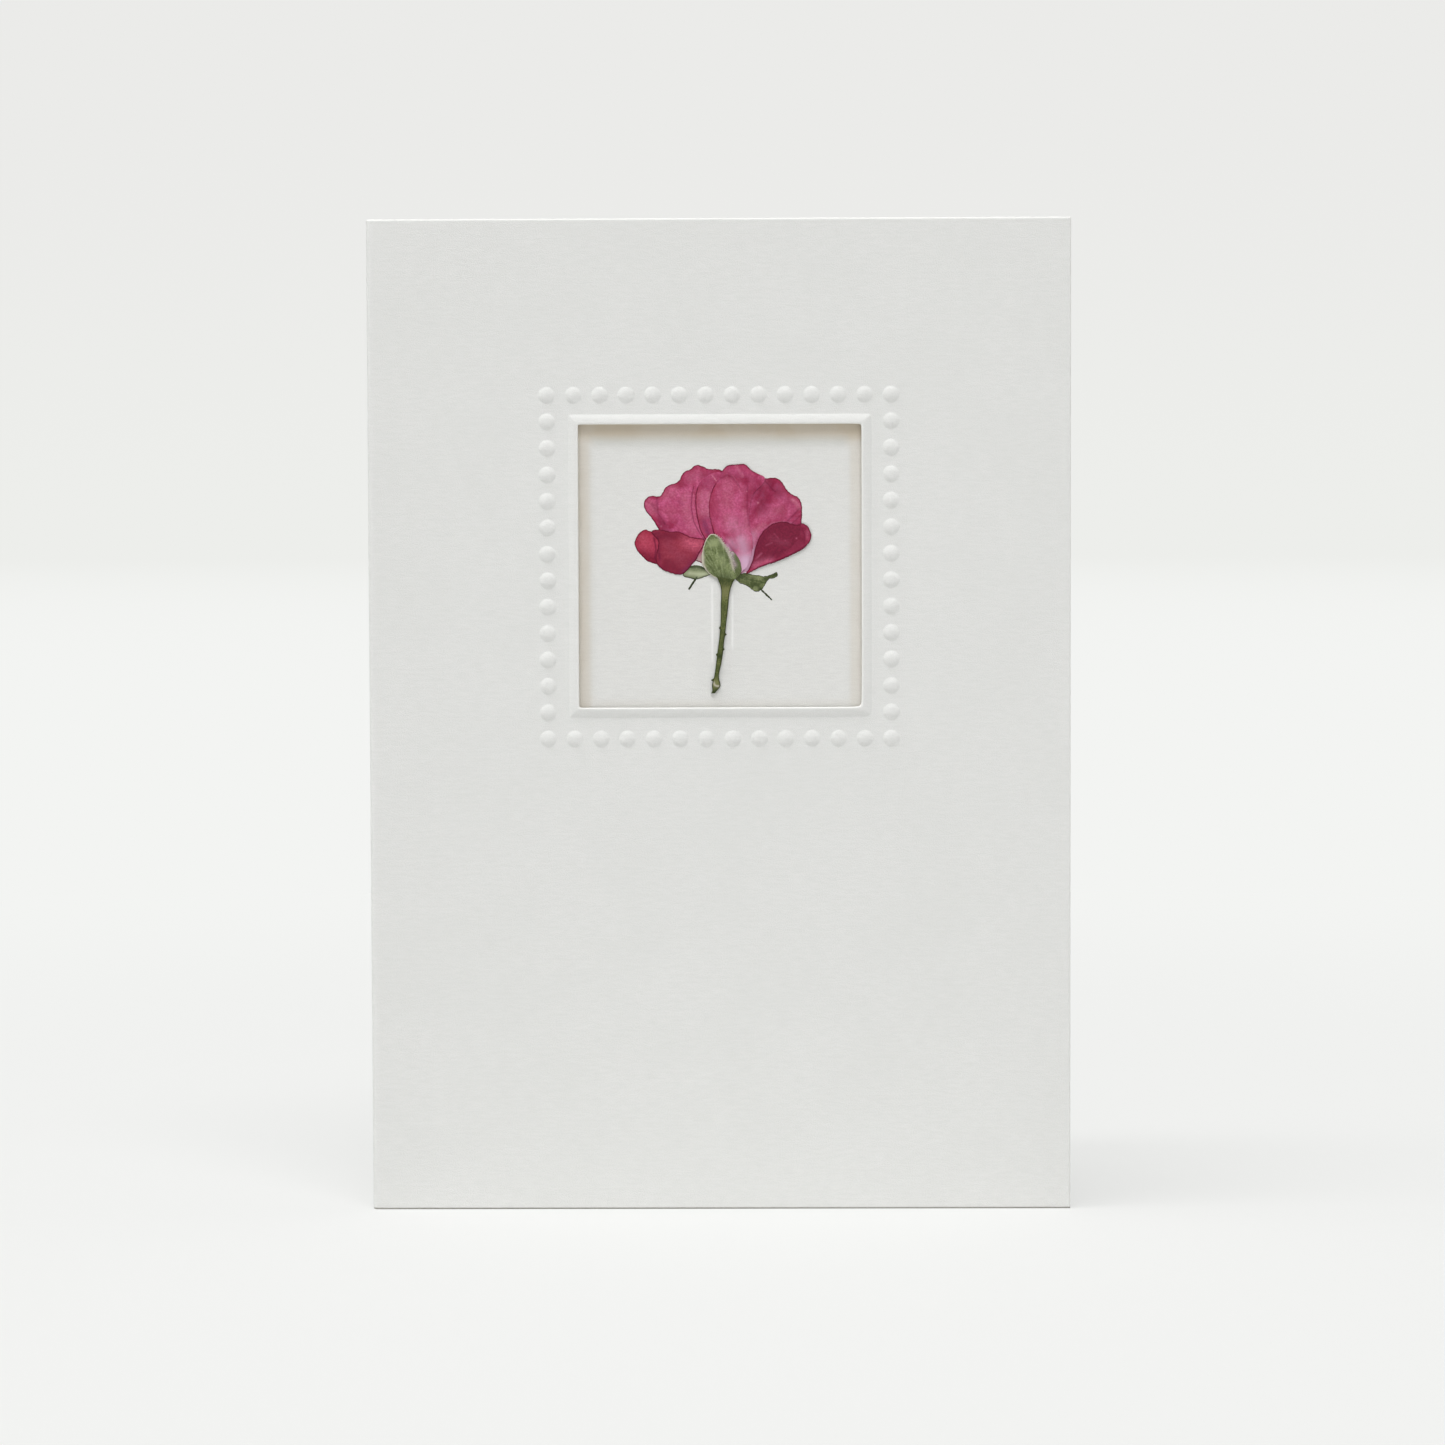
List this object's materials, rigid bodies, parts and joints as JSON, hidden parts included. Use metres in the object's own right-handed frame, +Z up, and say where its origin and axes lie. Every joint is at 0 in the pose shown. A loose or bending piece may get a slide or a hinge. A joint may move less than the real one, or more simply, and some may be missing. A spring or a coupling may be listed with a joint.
{
  "type": "greeting card",
  "caption": "Upright folded card in white textured paper, with an embossed dotted border and frame round a square window that shows a pressed rose.",
  "frame": {"origin": "on the surface that the card stands on, under the middle of the card's bounding box", "axes": "+Z up along the fold, +X from the fold towards the front panel's free edge, and the front panel faces -Y"},
  "size_m": [0.105, 0.0616, 0.1485],
  "materials": {
    "card_stock": "matte",
    "backing_paper": "matte",
    "petal": "satin",
    "sepal": "matte",
    "stem": "matte"
  },
  "bodies": {
    "root": {"card": "card_stock", "backing_sheet": "backing_paper", "back_left_petal": "petal", "back_right_petal": "petal", "outer_left_petal": "petal", "back_middle_petal": "petal", "front_left_petal": "petal", "centre_petal": "petal", "front_right_petal": "petal", "rear_sepal": "sepal", "front_sepal": "sepal", "left_sepal": "sepal", "right_sepal": "sepal", "stem": "stem"}
  },
  "joints": []
}
